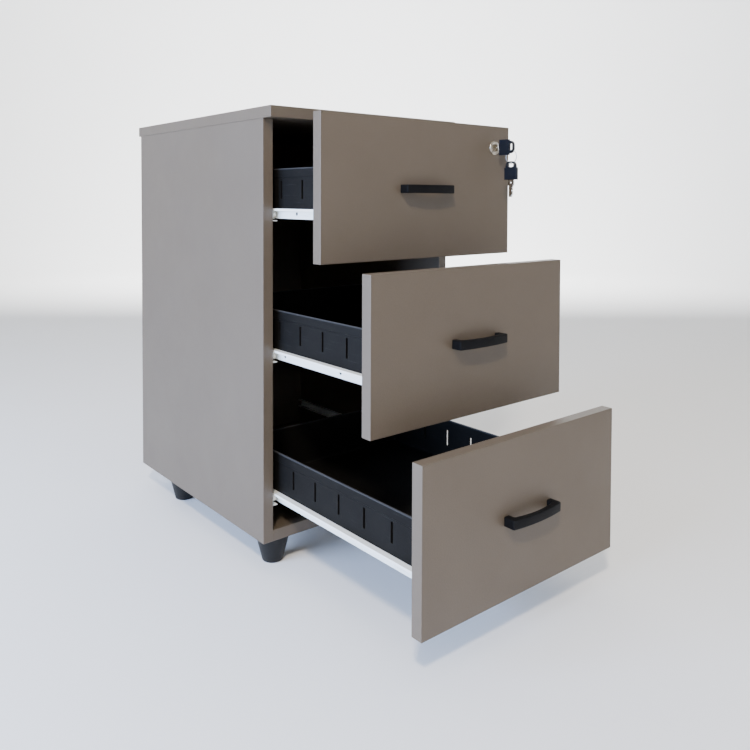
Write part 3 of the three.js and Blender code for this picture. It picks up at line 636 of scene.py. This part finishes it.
def wireRing(shape):
    # a circle of the wire's section carried round a larger circle in the YZ plane
    node = "key_ring"
    middle = (corner(node, 0) + corner(node, 1)) / 2
    main = np.linspace(0, 2 * math.pi, shape["around"], endpoint=False)[:, None]
    section = np.linspace(0, 2 * math.pi, shape["sectionAround"], endpoint=False)[None, :]
    out = shape["mean"] + shape["wire"] * np.cos(section)
    sideways = shape["wire"] * np.sin(section) + 0 * main
    rings = np.stack([sideways, out * np.cos(main), out * np.sin(main)], -1) + middle
    makePiece(node + "_wire", rings, sheetFaces(*rings.shape[:2], loopRows=True), "zinc",
              bodyOfNode[node], [node])


lockBody(lockShape)
wireRing(ringShape)
print("stage: lock and ring")


# ---- CAD solids that keep their shape: bent steel, the lock's small parts and the keys
keptFinish = {"lock_nut": ("zinc", 0.35), "lock_cam": ("zinc", 0.3), "cam_screw": ("zinc", 0.2),
              "lock_plug": ("nickel", 0.2), "key_blade": ("nickel", 0.15),
              "spare_key_blade": ("nickel", 0.15), "key_head": ("key", 0.45),
              "spare_key_head": ("key", 0.45)}
for drawer in drawerNames:
    for side in sideNames:
        keptFinish[f"{drawer}_cabinet_runner_{side}"] = ("runner", 0.3)
        keptFinish[f"{drawer}_drawer_runner_{side}"] = ("runner", 0.3)


def dressNode(node, finish, edge):
    # the loose triangles are joined first, so that the bevel finds the real edges
    solid = nodes[node]
    solid.data.materials.clear()
    solid.data.materials.append(finishes[finish])
    solid.modifiers.new("join", "WELD").merge_threshold = 0.01 * mm
    round_ = solid.modifiers.new("edges", "BEVEL")
    round_.width, round_.segments = edge * mm, 2
    round_.limit_method, round_.angle_limit = "ANGLE", math.radians(35)


for node, (finish, edge) in keptFinish.items():
    dressNode(node, finish, edge)
print("stage: kept solids,", len(keptFinish))


# ---- floor, sky and lights
studio = {"floor": "f4f4f3", "skyHex": "f2f5fa", "skyStrength": 0.58, "flat": 5.0, "curve": 3.0, "wall": 1.2,
          "curveSteps": 19, "around": 96}
lamps = {
    "overheadPanel": {"place": (0.3, 0.1, 2.9), "aim": (0, 0, 0),
                      "size": (2.8, 2.8), "watts": 34, "tint": "fff7ec"},
    "leftPanel": {"place": (-2.5, 0.05, 0.85), "aim": (0, 0.1, 0.42),
                  "size": (1.8, 1.3), "watts": 200, "tint": "b4cfff"},
    "frontPanel": {"place": (-1.75, -1.8, 2.6), "aim": (0, -0.25, 0.45),
                   "size": (0.3, 0.3), "watts": 96, "tint": "fff3e4"},
    "backdropPanel": {"place": (2.0, 2.5, 2.4), "aim": (5.2, 6.5, 0.6),
                      "size": (3.0, 1.0), "watts": 700, "tint": "ffffff"},
}


def makeFloor(settings):
    material, tree, shader, where = startMaterial("floorPaintedMatt", 0.7, ior=1.45)
    tone = addNode(tree, "TexNoise", {"Vector": where, "Scale": perMm(900), "Detail": 2.0})
    pale = linearColour(settings["floor"])
    shade = [c * 0.985 for c in pale[:3]] + [1.0]
    colour = between(tree, spread(tree, (tone, "Fac"), 0.3, 0.7, 0.0, 1.0), pale, shade)
    tree.links.new(colour[0].outputs[colour[1]], shader.inputs["Base Color"])
    # a flat disc whose rim sweeps up a quarter circle into a wall, so that no horizon shows
    flat, curve = settings["flat"], settings["curve"]
    sweep = arcPoints((0, 0), curve, -90, 0, settings["curveSteps"])
    profile = [(0, 0), (flat * 0.5, 0)] + [(flat + r, curve + z) for r, z in sweep]
    profile += [(flat + curve, curve + settings["wall"])]
    rings = turned(profile, (0, 0, 0), 2, settings["around"])
    mesh = bpy.data.meshes.new("floor")
    mesh.from_pydata(rings.reshape(-1, 3).tolist(), [], sheetFaces(*rings.shape[:2])[:, ::-1].tolist())
    mesh.polygons.foreach_set("use_smooth", np.ones(len(mesh.polygons), bool))
    mesh.materials.append(material)
    floor = bpy.data.objects.new("floor", mesh)
    bpy.context.scene.collection.objects.link(floor)


def makeLamp(name, settings):
    data = bpy.data.lights.new(name, "AREA")
    data.shape = "RECTANGLE"
    data.size, data.size_y = settings["size"]
    data.energy = settings["watts"]
    data.color = linearColour(settings["tint"])[:3]
    lamp = bpy.data.objects.new(name, data)
    lamp.location = settings["place"]
    ahead = Vector(settings["aim"]) - Vector(settings["place"])
    lamp.rotation_euler = ahead.to_track_quat("-Z", "Y").to_euler()
    bpy.context.scene.collection.objects.link(lamp)


makeFloor(studio)
for lampName, lampSettings in lamps.items():
    makeLamp(lampName, lampSettings)
world = bpy.data.worlds.new("paleSky")
world.use_nodes = True
sky = world.node_tree.nodes["Background"]
sky.inputs["Color"].default_value = linearColour(studio["skyHex"])
sky.inputs["Strength"].default_value = studio["skyStrength"]
bpy.context.scene.world = world
print("stage: studio")
